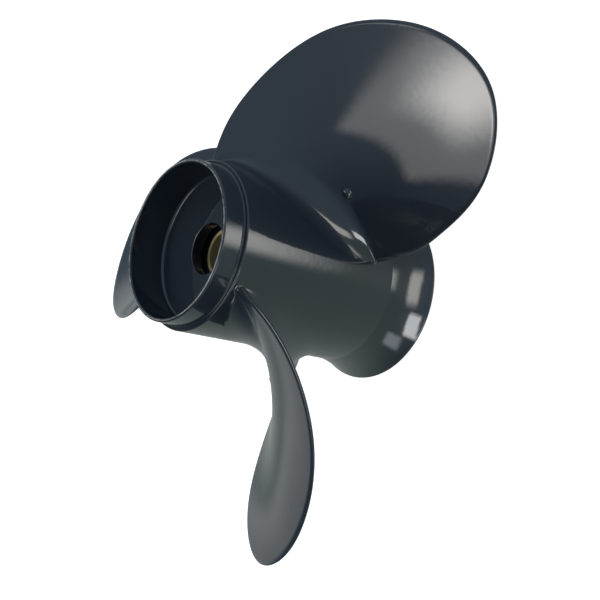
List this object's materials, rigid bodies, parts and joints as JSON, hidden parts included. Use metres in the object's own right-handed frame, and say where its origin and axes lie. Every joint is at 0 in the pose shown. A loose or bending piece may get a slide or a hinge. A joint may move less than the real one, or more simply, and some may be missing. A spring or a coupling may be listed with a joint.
{
  "type": "boat propeller",
  "caption": "Right-hand outboard propeller with broad rounded blades, a flared rear ring and a rubber-cushioned splined brass sleeve.",
  "frame": {"origin": "on the shaft axis, in the forward end face of the splined sleeve, where the thrust washer seats", "axes": "+Z along the shaft axis, forward towards the gearcase; +X through the middle of the root of blade_1"},
  "size_m": [0.196, 0.213, 0.1034],
  "materials": {
    "black_paint": "gloss",
    "bush_rubber": "matte",
    "sleeve_brass": "satin"
  },
  "bodies": {
    "sleeve": {"splined_sleeve": "sleeve_brass"},
    "cushion": {"rubber_bush": "bush_rubber"},
    "casting": {"pilot_lip": "black_paint", "hub_barrel": "black_paint", "front_bulkhead": "black_paint", "bush_boss": "black_paint", "diffuser_ring": "black_paint", "rib_1": "black_paint", "rib_2": "black_paint", "rib_3": "black_paint", "blade_1": "black_paint", "blade_2": "black_paint", "blade_3": "black_paint"}
  },
  "joints": [
    {"name": "rubber_windup", "type": "hinge", "parent": "sleeve", "child": "cushion", "pos_m": [0, 0, -0.0265], "axis": [0, 0, 1], "range_deg": [-8, 8], "stiffness_Nm_per_rad": 286},
    {"name": "hub_slip", "type": "hinge", "parent": "cushion", "child": "casting", "pos_m": [0, 0, -0.0265], "axis": [0, 0, 1], "continuous": true}
  ]
}
